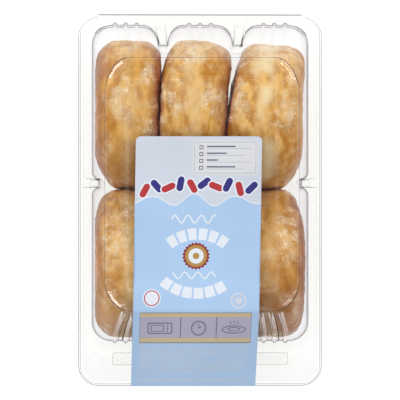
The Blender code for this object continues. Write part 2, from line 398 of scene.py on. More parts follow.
def ribbed_run(start_x, end_x, end_y, middle_x, way):
    """A nearly straight end of a lobe, with three half-round ribs that stand out from it."""
    steps = max(2, round(abs(end_x - start_x) / RIBBED_STEP))
    points = []
    for i in range(1, steps):
        x = start_x + (end_x - start_x) * i / steps
        out = 0.0
        for rib in (-1, 0, 1):
            away = abs(x - middle_x - rib * RIB_PITCH) / (RIB_WIDTH / 2)
            if away < 1:
                out = RIB_HEIGHT * cos(away * pi / 2) ** 1.3
        points.append(((x, end_y), (x, end_y), way * out))
    return points


def lobed_end(end_y, valley, way):
    """One lobed end from its middle to the side wall for x above 0, as (point, base, rib)."""
    floor_y = end_y - way * valley
    reach = LOBE_HALF - LOBE_CORNER
    radii = (LOBE_CORNER, way * valley)
    outer_start = CAVITY_HALF - CAVITY_CORNER
    plain = ribbed_run(0.0, reach, end_y, 0.0, way)
    row = [((0.0, end_y), (0.0, end_y), way * RIB_HEIGHT)] + plain
    row += [(p, (p[0], end_y), 0.0) for p in bend((reach, floor_y), radii, 90, 0, 14)]
    row += [(p, (p[0], end_y), 0.0) for p in bend((LOBE_PITCH - reach, floor_y), radii, 180, 90, 14)]
    row += ribbed_run(LOBE_PITCH - reach, outer_start, end_y, LOBE_PITCH, way)
    corner = (outer_start, end_y - way * CAVITY_CORNER)
    row += [(p, p, 0.0) for p in bend(corner, (CAVITY_CORNER, way * CAVITY_CORNER), 90, 0, 16)]
    return row


def side_run(start_y, end_y):
    steps = max(2, round(abs(end_y - start_y) / SIDE_STEP))
    ys = [start_y + (end_y - start_y) * i / steps for i in range(1, steps)]
    return [((CAVITY_HALF, y), (CAVITY_HALF, y), 0.0) for y in ys]


def side_notch():
    """The shallow notch in the side wall between the two rows, for x above 0."""
    floor_x = CAVITY_HALF - NOTCH_DEPTH
    reach = NOTCH_HALF + NOTCH_DEPTH
    upper = bend((floor_x, NOTCH_Y + reach), (NOTCH_DEPTH, -NOTCH_DEPTH), 0, 90, 8)
    lower = bend((floor_x, NOTCH_Y - reach), (NOTCH_DEPTH, NOTCH_DEPTH), 90, 0, 8)
    return [(p, (CAVITY_HALF, p[1]), 0.0) for p in upper + lower]


def cavity_outline():
    """The hollow's outline: each point, its place on the outline unlobed, and its rib's height."""
    reach = NOTCH_HALF + NOTCH_DEPTH
    half = lobed_end(CAVITY_BACK_Y, VALLEY_BACK, 1)
    half += side_run(CAVITY_BACK_Y - CAVITY_CORNER, NOTCH_Y + reach)
    half += side_notch()
    half += side_run(NOTCH_Y - reach, CAVITY_FRONT_Y + CAVITY_CORNER)
    half += lobed_end(CAVITY_FRONT_Y, VALLEY_FRONT, -1)[::-1]
    mirrored = [((-p[0], p[1]), (-q[0], q[1]), rib) for p, q, rib in reversed(half)]
    return half + mirrored[1:-1]


def round_box(base, half, back_y, front_y, radii):
    """The point of a rounded rectangle that answers to a point of the unlobed outline, and the
    direction straight out of it. The radii are across, along at the back and along at the front."""
    x = base[0] * half / CAVITY_HALF
    y = base[1] * (back_y / CAVITY_BACK_Y if base[1] > 0 else front_y / CAVITY_FRONT_Y)
    across, back, front = radii
    along = back if y > (back_y + front_y) / 2 else front
    cx = max(-half + across, min(half - across, x))
    cy = max(front_y + front, min(back_y - back, y))
    unit = Vector(((x - cx) / across, (y - cy) / along)).normalized()
    out = Vector((unit.x / across, unit.y / along)).normalized()
    return Vector((cx + unit.x * across, cy + unit.y * along)), out


def shoulder(out):
    """The width and the steepest slope of the shoulder between crest and flat top, and the
    width of the crest's own fold. All are largest where the outline turns a corner, which is
    where the lid catches its long glints."""
    diagonal = smooth(0.1, 0.8, 2 * abs(out.x * out.y))
    return (1.4 + 4.6 * diagonal) * MM, 0.2 + 0.26 * diagonal, (0.32 + 0.4 * diagonal) * MM


def shoulder_drop(out, crease, share):
    """How far the shoulder lies below the flat top, with an even slope and then a soft end."""
    width, slope, fold = shoulder(out)
    left_over = (1 - share) ** 2 if share > 0.3 else 0.49 + (0.3 - share) * 1.4
    return left_over * slope * width / 1.4 + max(0.0, 1 - crease) * 0.5 * slope * fold


def wall_point(item, level, end_half, flange_z, end_z):
    """A point of the wall at a level from 0 at the flange to 1 at the crest."""
    point, base, rib = item
    top, out = round_box(base, end_half, TOP_BACK_Y, TOP_FRONT_Y, TOP_CORNERS)
    up = 1 if end_z > flange_z else -1
    crest_z = end_z - up * shoulder_drop(out, 0.0, 0.0)
    standing = rib * (1 - smooth(0.88, 0.99, level))
    # Between two lobes the wall climbs to a small shelf below the crest
    between = min(1.0, abs(base[1] - point[1]) / VALLEY_BACK) if point[1] > 40 * MM else 0.0
    shelf = 0.62 * smooth(0.66, 0.76, level) + 0.38 * level**9
    x = point[0] + (top.x - point[0]) * level**3
    y = point[1] + (top.y - point[1]) * (level**2.3 * (1 - between) + shelf * between) + standing
    return Vector((x, y, flange_z + (crest_z - flange_z) * level))


def outline_normals(points):
    """Directions straight out of a closed outline that runs clockwise seen from above."""
    normals = []
    for i, here in enumerate(points):
        before = points[i - 1]
        after = points[(i + 1) % len(points)]
        along = Vector((after.x - before.x, after.y - before.y)).normalized()
        normals.append(Vector((-along.y, along.x)))
    return normals


def flange_rings(outline, half, back_y, front_y, corner, flange_z, up, rolled):
    """The flat rim, from its edge to the small bend where the wall begins. Extra rings beside
    each bend keep the flat part shaded flat."""
    edges = zip(EDGE_RUNS, EDGE_FALLS) if rolled else ((0.0, 0.0),)
    rings = []
    for run, fall in edges:
        run *= MM
        radii = (corner - run,) * 3
        ring = []
        for _, base, _ in outline:
            spot, _ = round_box(base, half - run, back_y - run * 0.5, front_y + run, radii)
            drop = fall * MM * (1 - smooth(*EDGE_FADES, spot.y))
            ring.append((spot.x, spot.y, flange_z - drop))
        rings.append(ring)
    first = [wall_point(item, 0.0, half, flange_z, flange_z) for item in outline]
    normals = outline_normals(first)
    for out, rise in WALL_BEND:
        ring = []
        for item, spot, normal in zip(outline, first, normals):
            wide = smooth(53 * MM, 62 * MM, abs(item[1][0])) if rolled else 0.0
            radius = (0.6 + 0.7 * wide) * MM
            place = spot + normal.to_3d() * out * radius
            ring.append((place.x, place.y, place.z + rise * radius * (1 if up else -1)))
        rings.append(ring)
    return rings


def formed_rings(outline, end_half, flange_z, end_z, rim, rolled, panel):
    """All the rings of a formed sheet from its rim to the middle of its flat top or foot."""
    up = 1 if end_z > flange_z else -1
    rings = flange_rings(outline, *rim, flange_z, up > 0, rolled)
    for i in range(1, WALL_RINGS + 1):
        level = 0.02 + 0.955 * i / WALL_RINGS
        rings.append([wall_point(item, level, end_half, flange_z, end_z) for item in outline])
    # The crest is a crisp bend. Inside it a shoulder rises to the flat top, wide at the corners.
    for crease, share in ((0.0, 0.0), (1.0, 0.0), *((1.0, k / 8) for k in range(1, 9)), (2.0, 1.0)):
        ring = []
        for item in outline:
            spot, out = round_box(item[1], end_half, TOP_BACK_Y, TOP_FRONT_Y, TOP_CORNERS)
            width, _, fold = shoulder(out)
            spot = spot - out * (0.1 * MM + fold * crease + width * share)
            ring.append((spot.x, spot.y, end_z - up * shoulder_drop(out, crease, share)))
        rings.append(ring)
    if not panel:
        return rings
    for run, sink in zip(PANEL_RUNS, PANEL_SINKS):
        inset = run * MM
        edge = (PANEL_HALF - inset, PANEL_BACK_Y - inset, PANEL_FRONT_Y + inset)
        radii = (PANEL_CORNER,) * 3
        ring = [(*round_box(item[1], *edge, radii)[0], end_z - sink * PANEL_STEP) for item in outline]
        rings.append(ring)
    return rings


def rib_distances(outline):
    """How far each point of the outline is, along x, from the nearest rib of its wall."""
    ribs = [0.0, RIB_PITCH, LOBE_PITCH - RIB_PITCH, LOBE_PITCH, LOBE_PITCH + RIB_PITCH]
    return [min(abs(abs(point[0]) - rib) for rib in ribs) for point, _, _ in outline]


def strip_film(index, spot, rib_away, bends):
    """Which film a face has. Strips named in bends take that one, apart from the rims at the hinge, and
    the front wall's ribs are hazy higher up, with flanks darkened by painted shade."""
    film = bends.get(index, CLEAR)
    if index < RIM_STRIPS and spot.y > HINGE_Y and abs(spot.x) < HINGE_HALF:
        film = CLEAR
    if index == BACK_FOLD and spot.y > BACK_FOLD_Y:
        film = BEND_SHADE
    if film == CLEAR and index in WALL_STRIPS and spot.y < FRONT_WALL_Y:
        if rib_away < HAZE_REACH:
            film = HAZY if index >= HAZY_FROM else CLEAR
        elif rib_away < FLANK_REACH:
            film = BEND_SHADE
    return film


def sheet_mesh(name, rings, up, bends, ribs):
    """The mesh of a formed sheet, each face with its film."""
    bm = joined_rings(rings)
    bm.faces.ensure_lookup_table()
    for number, face in enumerate(bm.faces[:-1]):
        index, i = divmod(number, len(ribs))
        away = (ribs[i] + ribs[(i + 1) % len(ribs)]) / 2
        face.material_index = strip_film(index, face.verts[0].co, away, bends)
    bmesh.ops.recalc_face_normals(bm, faces=bm.faces)
    bm.faces.ensure_lookup_table()
    if (bm.faces[-1].normal.z > 0) != up:
        bmesh.ops.reverse_faces(bm, faces=bm.faces)
    return finished_mesh(name, bm)


def formed_sheet(name, mesh, body, films):
    """Put a formed sheet on its body and give it its thickness, inwards from its outer face."""
    sheet = new_piece(name, mesh, body)
    for film in films[:DRAWN]:
        mesh.materials.append(film)
    solid = sheet.modifiers.new("film", "SOLIDIFY")
    solid.thickness = FILM
    solid.offset = -1
    return sheet


def make_lid(outline, films):
    rim = (LID_HIGH.x, RIM_BACK_Y, LID_LOW.y, FLANGE_CORNER)
    rings = formed_rings(outline, TOP_HALF, LID_FLANGE_Z, LID_TOP_Z, rim, True, True)
    mesh = sheet_mesh("lid_film", rings, True, LID_BENDS, rib_distances(outline))
    lid = formed_sheet("lid_film", mesh, "lid", films)
    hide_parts("lid")


def make_tray(outline, films):
    rim = (TRAY_HIGH.x, RIM_BACK_Y, TRAY_LOW.y, TRAY_CORNER)
    rings = formed_rings(outline, FOOT_HALF, TRAY_FLANGE_Z, 0.0, rim, False, False)
    mesh = sheet_mesh("tray_film", rings, False, TRAY_BENDS, rib_distances(outline))
    tray = formed_sheet("tray_film", mesh, "tray", films)
    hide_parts("base_tray")


def raised_bar(name, middle_x, half_x, back_y, front_y, height, pet):
    """A pressed bar on the lid's flange, with sloping sides and round corners."""
    centre = Vector((middle_x, (back_y + front_y) / 2))
    half_y = (back_y - front_y) / 2
    rings = []
    # Each ring's inset in mm, and its share of the height
    for inset, rise in ((0.0, 0.0), (0.25, 0.35), (0.5, 0.8), (0.8, 0.97), (1.2, 1.0)):
        dx, dy = half_x - inset * MM, half_y - inset * MM
        radius = 1.6 * MM - inset * MM * 0.6
        ring = []
        for sx, sy, start in ((1, 1, 0), (-1, 1, 90), (-1, -1, 180), (1, -1, 270)):
            corner = (sx * (dx - radius), sy * (dy - radius))
            for x, y in bend(corner, (radius, radius), start, start + 90, 8):
                ring.append((centre.x + x, centre.y + y, LID_FLANGE_Z + height * rise))
        rings.append(ring)
    mesh = finished_mesh(name, joined_rings(rings))
    mesh.materials.append(pet)
    new_piece(name, mesh, "lid")


def hinge_fold(crimp_shade_film):
    """The living hinge: a narrow crimped fold of film between the tray's and the lid's rims."""
    low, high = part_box("hinge_bead")
    centre = (low + high) / 2
    bm = bmesh.new()
    rows = []
    for i in range(HINGE_TURNS + 1):
        share = i / HINGE_TURNS
        x = low.x + (high.x - low.x) * share
        taper = smooth(0.0, 0.02, share) * smooth(1.0, 0.98, share)
        radius = (0.1 + 0.22 * taper + 0.02 * cos(share * 240)) * MM
        ring = []
        for k in range(HINGE_SIDES):
            a = 2 * pi * k / HINGE_SIDES
            y = centre.y + HINGE_BACK + radius * cos(a)
            ring.append(bm.verts.new((x, y, centre.z + HINGE_TALL * radius * sin(a))))
        rows.append(ring)
    for before, after in zip(rows, rows[1:]):
        for k in range(HINGE_SIDES):
            m = (k + 1) % HINGE_SIDES
            bm.faces.new((before[k], after[k], after[m], before[m])).smooth = True
    bm.faces.new(rows[0])
    bm.faces.new(rows[-1][::-1])
    bmesh.ops.recalc_face_normals(bm, faces=bm.faces)
    mesh = finished_mesh("hinge_fold", bm)
    # The crimped film's grey is painted shade for the dark line of the fold.
    mesh.materials.append(crimp_shade_film)
    fold = new_piece("hinge_fold", mesh, "tray")
    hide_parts("hinge_bead")


# The doughnuts

# Points around each ring and around its section
TURNS = 350
TUBE = 130
# How square the section is: at an outer side, a left side and a right side between doughnuts
SQUARENESS = (3.0, 3.4, 2.5)
HOLE = 9.2 * MM
# Each doughnut's left and right reach in millimetres. Neighbours meet along one uneven face.
REACHES = ((-61.1, -24.3), (-24.3, 14.4), (14.4, 58.9), (-61.2, -21.4), (-21.4, 18.4), (18.4, 60.1))
# How far each face between neighbours leans to the right, per millimetre beyond a place
LEANS = (0.04, 0.17, 0.0, 0.0)
LEANS_FROM = 40
# How much thinner each is toward its back end and its front end, for its left and right side:
# the share of the way to the end where that begins, and how much in all
TAPERS = (
    (((0.4, 0.08), (0.3, -0.12)), ((0.45, 0.3), (0.6, 0.08))),
    (((0.2, 0.33), (0.2, -0.26)), ((0.6, 0.05), (0.6, 0.05))),
    (((0.0, 0.46), (0.2, -0.16)), ((0.6, 0.05), (0.45, 0.26))),
    (((0.4, 0.16), (0.6, 0.05)), ((0.6, 0.03), (0.6, 0.05))),
    (((0.6, 0.05), (0.6, 0.05)), ((0.6, 0.08), (0.6, 0.08))),
    (((0.6, 0.05), (0.35, 0.17)), ((0.6, 0.06), (0.6, 0.02))),
)
# Where the two rows meet, how far neighbours are swollen past their meeting face before it
# flattens them, and the gap that it leaves, in millimetres
ROWS_MEET = 6.5
PRESS = 0.8
GAP = 0.16
# What holds them in: the side walls, the tray's foot and the lid's top, in millimetres
SIDE_WALL = 61.3
FOOT_Z = 1.1
UNDER_LID_Z = 88.9
# Farther from a neighbour than this, in millimetres, nothing shows of it
FAR = 9.0
# How strongly each shows its pale band, how browned its sides are, with painted shade on its right sides
# and front end, and its two crust tones, the second also the tone of that painted shade
CRUSTS = (
    (0.25, 0.85, "#DEA850", "#98582A"),
    (0.4, 0.8, "#E6B25C", "#A4622A"),
    (1.0, 0.6, "#E8B868", "#AC6C30"),
    (0.3, 0.85, "#E4B062", "#9E602A"),
    (0.3, 0.7, "#DEAC58", "#A4642A"),
    (0.25, 0.95, "#DAA04C", "#8E4E22"),
)
# Where the painted shade of a front end, in the brown tone, begins and is full: of most, and of the sixth
END_SHADE = ((0.1, 0.85), (-0.15, 0.6))
# Thick wrinkled glaze on each rim: plan x and y, half width and half length, in millimetres
THICK_GLAZE = (
    ((-45, 57, 8, 12), (-30.5, 72, 4.5, 8), (-30, 40, 5, 7), (-26.5, 52, 2.6, 3.2)),
    ((-14, 59, 6, 12), (5, 58, 6.5, 9), (-6, 84, 9, 8), (-22.3, 62, 3, 6), (-22.8, 48, 3, 5)),
    ((18.2, 65, 3.5, 4), (16.4, 50, 4, 5), (21, 60, 5.5, 12), (27, 76, 8, 5))
    + ((50, 52, 5, 12), (40, 85, 16, 5)),
    ((-50, -23, 8, 15), (-42, -5, 6, 8)),
    ((2, -30, 9, 20),),
    ((50, -21, 6, 16),),
)


def keep_below(value, limit, round_off):
    """Hold a value under a limit, with a soft turn of about round_off near it."""
    lead = (limit - value) / round_off
    return limit - round_off * (log1p(exp(-abs(lead))) + max(lead, 0.0))


def meeting_face(a, b, seed):
    """How far the uneven face between two pressed doughnuts stands from its plane, in mm."""
    slow = noise(Vector((a / 8, b / 8, seed)))
    return 0.9 * slow + 0.5 * noise(Vector((a / 3.2, b / 3.2, seed + 9)))


def doughnut_mesh(name, index):
    """A fried ring on edge: a rounded-square section, swollen unevenly, pressed flat where it
    meets its neighbours, and wrinkled under its glaze. All sizes here are in millimetres."""
    low, high = (Vector(corner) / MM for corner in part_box(name))
    reach = (high.y - low.y + high.z - low.z) / 4
    left, right = REACHES[index]
    row, column = divmod(index, 3)
    centre = (low + high) / 2
    halves = (
        centre.x - left + (PRESS if column > 0 else 0.0),
        right - centre.x + (PRESS if column < 2 else 0.0),
    )
    middle = (reach + HOLE / MM) / 2
    tube = (reach - HOLE / MM) / 2
    band_share, brown_and_shade_share = CRUSTS[index][:2]
    draw = random.Random(31 + 7 * index)
    shift = Vector((draw.uniform(0, 90), draw.uniform(0, 90), draw.uniform(0, 90)))
    row_sign = -1 if row == 0 else 1
    verts = []
    marks = {"glaze": [], "browning_and_shade": [], "pale_band": [], "crease_shade": []}
    for i in range(TURNS):
        turn = 2 * pi * i / TURNS
        direction = Vector((0, cos(turn), sin(turn)))
        end = 0 if direction.y > 0 else 1
        for j in range(TUBE):
            angle = 2 * pi * j / TUBE
            c, s = cos(angle), sin(angle)
            outer = (column == 0 and s < 0) or (column == 2 and s > 0)
            square = SQUARENESS[0 if outer else 1 if s < 0 else 2]
            radial = tube * copysign(abs(c) ** (2 / square), c)
            begin, amount = TAPERS[index][end][1 if s > 0 else 0]
            narrow = amount * smooth(begin, 1.0, abs(direction.y) * (middle + radial) / reach)
            half = halves[1 if s > 0 else 0] * (1 - narrow)
            axial = half * copysign(abs(s) ** (2 / square), s)
            spot = centre + direction * (middle + radial) + Vector((axial, 0, 0))
            out = (direction * c + Vector((s, 0, 0))).normalized()
            here = spot + shift
            side = abs(axial) / half
            heavy = 0.0
            if direction.z > 0 and c > -0.3:
                for x, y, wide, long in THICK_GLAZE[index]:
                    far = ((spot.x - x) / wide) ** 2 + ((spot.y - y) / long) ** 2
                    heavy = max(heavy, exp(-far * far))
            swell = 0.5 * noise(here / 23) + 0.28 * noise(here / 10)
            spread = noise(here / 12 + shift) + 0.5 * noise(here / 5)
            cover = max(smooth(0.0, 0.5, spread + 0.25 * side) * 0.5, heavy)
            cover *= 0.85 + 0.5 * noise(here / 2.6)
            at_wall = smooth(0.66, 0.95, side) if outer else 0.0
            cover *= 1 - 0.9 * at_wall
            lump = max(0.0, noise(here / 4.6 + shift))
            lump *= 0.35 + 0.65 * smooth(0.5, 0.95, side)
            crinkle = max(0.0, 1 - abs(noise(here / 3.4)) * 5) * cover
            waver = axial - 2.2 * noise(Vector((turn * 1.7, shift.x, 0)))
            band = exp(-((waver / 4.6) ** 2)) * (1 if c > 0 else 0)
            push = -0.12 + swell + 0.75 * lump + 0.16 * crinkle + 0.2 * cover - 0.16 * band
            push += 0.5 * heavy
            push += 0.08 * noise(here / 1.5)
            at_end = smooth(0.8, 1.0, abs(direction.y))
            push += 0.9 * noise(Vector((here.x / 6.5, turn, shift.y))) * at_end
            point = spot + out * push
            point.y += row_sign * 1.2 * smooth(0.4, 1.0, row_sign * direction.y)
            left_near = right_near = FAR
            if column > 0:
                face = left + meeting_face(point.y, point.z, 3 * row + column) + GAP / 2
                face += LEANS[2 * row + column - 1] * max(0.0, point.y - LEANS_FROM)
                left_near = point.x - face
                point.x = -keep_below(-point.x, -face, 0.3)
            else:
                point.x = -keep_below(-point.x, SIDE_WALL, 0.12)
            if column < 2:
                face = right + meeting_face(point.y, point.z, 3 * row + column + 1) - GAP / 2
                face += LEANS[2 * row + column] * max(0.0, point.y - LEANS_FROM)
                right_near = face - point.x
                point.x = keep_below(point.x, face, 0.3)
            face = ROWS_MEET + meeting_face(point.x, point.z, 20 + column)
            row_near = row_sign * (face - point.y)
            point.y = row_sign * keep_below(row_sign * point.y, row_sign * face - GAP / 2, 0.3)
            point.z = max(point.z, FOOT_Z)
            point.z = keep_below(point.z, UNDER_LID_Z, 0.2)
            verts.append(point * MM)
            # Fried flat sides are browner. Right and outer sides take it in full, while left sides beside
            # a neighbour take only a third. The extra on the right sides is painted shade, and so is the
            # darker front end, in the same brown tone.
            browned_and_shaded = smooth(0.5, 0.98, side + 0.22 * noise(here / 9))
            browned_and_shaded = max(browned_and_shaded, at_wall) if outer or s > 0 else 0.35 * browned_and_shaded
            front = smooth(*END_SHADE[index == 5], -direction.y)
            browned_and_shaded = max(browned_and_shaded, (0.8 if row else 0.6) * front)
            # Painted shade in the creases beside each neighbour and the other row, reaching farther on the
            # right side.
            crease_shade_amount = max(smooth(2.0, 0.2, left_near), smooth(5.6, 0.4, right_near))
            crease_shade_amount = max(crease_shade_amount, 0.6 * smooth(2.0, 0.2, row_near))
            shown = smooth(-0.35, 0.3, noise(here / 12) + 0.15)
            marks["glaze"].append(max(0.0, min(1.0, cover)))
            marks["browning_and_shade"].append(brown_and_shade_share * browned_and_shaded)
            marks["pale_band"].append(band_share * band * shown)
            marks["crease_shade"].append(0.9 * crease_shade_amount)
    faces = []
    for i in range(TURNS):
        for j in range(TUBE):
            a, b = i * TUBE + j, i * TUBE + (j + 1) % TUBE
            k = (i + 1) % TURNS
            faces.append((a, b, k * TUBE + (j + 1) % TUBE, k * TUBE + j))
    mesh = bpy.data.meshes.new(name + "_crust")
    mesh.from_pydata(verts, [], faces)
    for key, values in marks.items():
        mesh.attributes.new(key, "FLOAT", "POINT").data.foreach_set("value", values)
    mesh.update()
    mesh.shade_smooth()
    return mesh


def make_doughnuts():
    for index, (_, _, golden, brown) in enumerate(CRUSTS):
        name = f"doughnut_{index + 1}"
        mesh = doughnut_mesh(name, index)
        mesh.materials.append(glazed_crust(f"glazed_crust_{index + 1}", golden, brown))
        piece = new_piece(f"glazed_{name}", mesh, "tray")
        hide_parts(name)


# The label

LABEL_HALF = 36.2 * MM
LABEL_BACK_Y = 36.5 * MM
LABEL_FRONT_Y = -108.2 * MM
LABEL_LEAN = (-1.7 * MM, -4.1 * MM)
PAPER = 0.14 * MM
LABEL_PATH = (
    (37.0, 90.1),
    (-41.6, 90.1),
    (-52.0, 91.3),
    (-62.0, 91.3),
    (-63.8, 91.0),
    (-65.4, 89.9),
    (-104.9, 49.25),
    (-106.7, 47.65),
    (-108.3, 46.25),
)
INKS = {
    "blue_ground": "#A3C0E1",
    "icing_white": "#C4C9D6",
    "icing_edge": "#D3D9E1",
    "white_ink": "#D8DEE7",
    "panel_white": "#CFD0D4",
    "fine_grey": "#B0B3BB",
    "black_ink": "#232329",
    "red_ink": "#AC272C",
    "navy_ink": "#212174",
    "badge_red": "#871D26",
    "badge_ochre": "#AB8341",
    "strip_tan": "#C4AE88",
    "box_lilac": "#A8A3B8",
    "slate_line": "#575B72",
    "pale_line": "#B9C3D4",
}


def cut_corners(points, rounds):
    """Round a path by cutting its corners, keeping its two ends."""
    for _ in range(rounds):
        cut = [points[0]]
        for a, b in zip(points, points[1:]):
            cut.append((a[0] * 0.75 + b[0] * 0.25, a[1] * 0.75 + b[1] * 0.25))
            cut.append((a[0] * 0.25 + b[0] * 0.75, a[1] * 0.25 + b[1] * 0.75))
        cut.append(points[-1])
        points = cut
    return points


LABEL_CURVE = cut_corners(list(LABEL_PATH), 2)


def label_z(y):
    """The height of the label's underside at a place along it, both in millimetres."""
    for (y0, z0), (y1, z1) in zip(LABEL_CURVE, LABEL_CURVE[1:]):
        if y0 >= y >= y1:
            return z0 + (z1 - z0) * (y0 - y) / (y0 - y1)
    return LABEL_CURVE[0][1] if y > 0 else LABEL_CURVE[-1][1]


def circle(x, y, radius, steps, squash=1.0):
    turns = [2 * pi * i / steps for i in range(steps)]
    return [(x + radius * cos(a), y + squash * radius * sin(a)) for a in turns]


def rectangle(x0, y0, x1, y1, radius=0.0):
    if not radius:
        return [(x0, y0), (x1, y0), (x1, y1), (x0, y1)]
    left, right, low, high = x0 + radius, x1 - radius, y0 + radius, y1 - radius
    points = []
    corners = ((right, high), (left, high), (left, low), (right, low))
    for i, centre in enumerate(corners):
        points += bend(centre, (radius, radius), 90 * i, 90 * i + 90, 4)
    return points


def capsule(x, y, length, width, tilt):
    """A short round-ended bar, turned by tilt degrees."""
    r = width / 2
    points = []
    for sign, start in ((1, -90), (-1, 90)):
        points += bend((sign * (length / 2 - r), 0.0), (r, r), start, start + 180, 6)
    turn = radians(tilt)
    c, s = cos(turn), sin(turn)
    return [(x + px * c - py * s, y + px * s + py * c) for px, py in points]


def ribbon(path, width):
    """A band of even width along a path."""
    left, right = [], []
    for i, here in enumerate(path):
        before = path[max(0, i - 1)]
        after = path[min(len(path) - 1, i + 1)]
        along = Vector((after[0] - before[0], after[1] - before[1])).normalized()
        side = Vector((-along.y, along.x)) * width / 2
        left.append((here[0] + side.x, here[1] + side.y))
        right.append((here[0] - side.x, here[1] - side.y))
    return left + right[::-1]


def arc_block(x, y, radius, start, end, width):
    """A thick piece of an arc, with its angles in degrees."""
    return ribbon(bend((x, y), (radius, radius), start, end, 6), width)


def scallop(x, y, radius, depth, count):
    points = []
    for i in range(count * 6):
        a = 2 * pi * i / (count * 6)
        r = radius - depth * (1 - abs(sin(a * count / 2)))
        points.append((x + r * cos(a), y + r * sin(a)))
    return points


def icing_edge(top, low):
    """The pale field at the top of the label, with an even wavy lower edge."""
    wave = []
    for i in range(73):
        u = 36.2 - i * 72.4 / 72
        y = low + 3.6 * cos(u / 36 * pi * 3 + 0.6) * (0.8 + 0.25 * cos(u / 9))
        wave.append((u, y))
    return [(-36.2, top), *wave[::-1], (36.2, top)]


def label_art():
    """Every printed shape as (ink, outline), from the lowest to the topmost, in millimetres
    across from the label's middle line and along the pack."""
    art = [
        ("icing_edge", icing_edge(37, -0.4)),
        ("icing_white", icing_edge(37, 0.5)),
        ("panel_white", rectangle(-3.4, 14.2, 34, 34.4, 1.2)),
        ("fine_grey", rectangle(-2.6, 15.2, 33, 33.4)),
        ("panel_white", rectangle(-2.2, 15.6, 32.6, 33)),
    ]
    # A form of ruled lines, each with a small box to tick
    for i in range(4):
        y = 30.2 - 3.9 * i
        art += [
            ("black_ink", rectangle(0.4, y - 1.1, 2.6, y + 1.1)),
            ("panel_white", rectangle(0.8, y - 0.7, 2.2, y + 0.7)),
            ("fine_grey", rectangle(4.6, y - 0.9, 30.5 - 4 * (i % 2), y - 0.5)),
            ("slate_line", rectangle(4.6, y + 0.1, 21 - 5 * (i % 3), y + 0.9)),
        ]
    # A row of sprinkles on a shallow arch
    for i in range(10):
        u = -30.6 + 6.8 * i
        y = 5.4 + 3.4 * cos(u / 36 * pi / 2) + (0.8 if i % 2 else -0.8)
        tilt = (62, -48, 25, 80, -60, 38, -22, 65, -75, 45)[i]
        art.append(("white_ink", capsule(u, y, 10.2, 5.4, tilt)))
        art.append(("red_ink" if i % 2 == 0 else "navy_ink", capsule(u, y, 8.6, 3.8, tilt)))
    # Loops and arcs of icing about the badge
    swirl = [(-15 + 0.75 * i, -11 + 2.3 * sin(i * 0.62)) for i in range(35)]
    art.append(("white_ink", ribbon(swirl, 0.85)))
    for start in (128 - 13.2 * i for i in range(6)):
        art.append(("white_ink", arc_block(0, -46, 26.5, start, start - 10.4, 6.6)))
    art.append(("badge_red", scallop(-0.6, -32.1, 7.9, 1, 22)))
    rounds = (("badge_ochre", 6.3, 36), ("white_ink", 4.4, 32), ("badge_ochre", 1.9, 24))
    art += [(ink, circle(-0.6, -32.1, radius, steps)) for ink, radius, steps in rounds]
    swirl = [(-14 + 0.75 * i, -43.2 + 1.9 * sin(i * 0.62 + 2)) for i in range(34)]
    art.append(("white_ink", ribbon(swirl, 0.8)))
    for start in (233 + 12.6 * i for i in range(6)):
        art.append(("white_ink", arc_block(0, -24, 29.5, start - 4, start + 6.6, 6.2)))
    for ink, radius in (("white_ink", 5.2), ("red_ink", 4.5), ("white_ink", 3.9)):
        art.append((ink, circle(-25.6, -56.3, radius, 30)))
    rounds = (("icing_white", 4.6, 30), ("blue_ground", 3.6, 30), ("icing_white", 2.2, 24))
    art += [(ink, circle(24.2, -57.7, radius, steps)) for ink, radius, steps in rounds]
    return art + instruction_art() + fine_rows()


def instruction_art():
    """Three boxes with plain pictures: an oven, a dial and a plate, between two tan strips."""
    top, bottom = -64.8, -82
    y = -73.6
    art = [
        ("slate_line", rectangle(-32.2, bottom - 0.4, 32, top + 0.3)),
        ("strip_tan", rectangle(-32, bottom, 31.8, top)),
        ("box_lilac", rectangle(-32, bottom + 2.6, 31.8, top - 2.3)),
        *(("slate_line", rectangle(u - 0.25, bottom + 2.6, u + 0.25, top - 2.3)) for u in (-8.6, 12)),
        ("slate_line", rectangle(-27.6, y - 3.3, -13.4, y + 3.3, 1)),
        ("box_lilac", rectangle(-27, y - 2.7, -14, y + 2.7, 0.7)),
        ("slate_line", rectangle(-25.8, y - 2, -18.2, y + 2, 0.6)),
        ("box_lilac", rectangle(-25.3, y - 1.6, -18.7, y + 1.6, 0.4)),
        *(("slate_line", circle(-16.2, y + dy, 0.45, 12)) for dy in (1.2, -0.2, -1.6)),
        ("slate_line", circle(1.8, y, 4.4, 32)),
        ("box_lilac", circle(1.8, y, 3.8, 32)),
    ]
    art += [("slate_line", circle(*spot, 0.28, 8)) for spot in bend((1.8, y), (3.1, 3.1), 0, 330, 11)]
    art += [
        ("slate_line", ribbon([(1.8, y), (1.8, y + 2.4)], 0.5)),
        ("slate_line", ribbon([(1.8, y), (3.6, y + 0.9)], 0.5)),
        ("slate_line", circle(22, y - 0.8, 7, 36, 0.34)),
        ("box_lilac", circle(22, y - 0.8, 6.4, 36, 0.29)),
        ("slate_line", circle(22, y - 0.6, 3.6, 28, 0.34)),
        ("box_lilac", circle(22, y - 0.6, 3.1, 28, 0.26)),
    ]
    for u in (19.8, 22, 24.2):
        steam = [(u + 0.45 * sin(k * 1.2), y + 2.2 + 0.35 * k) for k in range(7)]
        art.append(("slate_line", ribbon(steam, 0.35)))
    return art


def fine_rows():
    """Rows of short pale bars that stand for small print."""
    draw = random.Random(5)
    art = []
    rows = [-84.6 - 1.52 * i for i in range(11)] + [-104.2, -105.6]
    for row, y in enumerate(rows):
        u = -32
        last = 31 if row not in (5, 10) else draw.uniform(-8, 16)
        while u < last - 1:
            length = min(draw.uniform(2.2, 8.5), last - u)
            art.append(("pale_line", rectangle(u, y - 0.33, u + length, y + 0.33)))
            u += length + 0.7
    return art


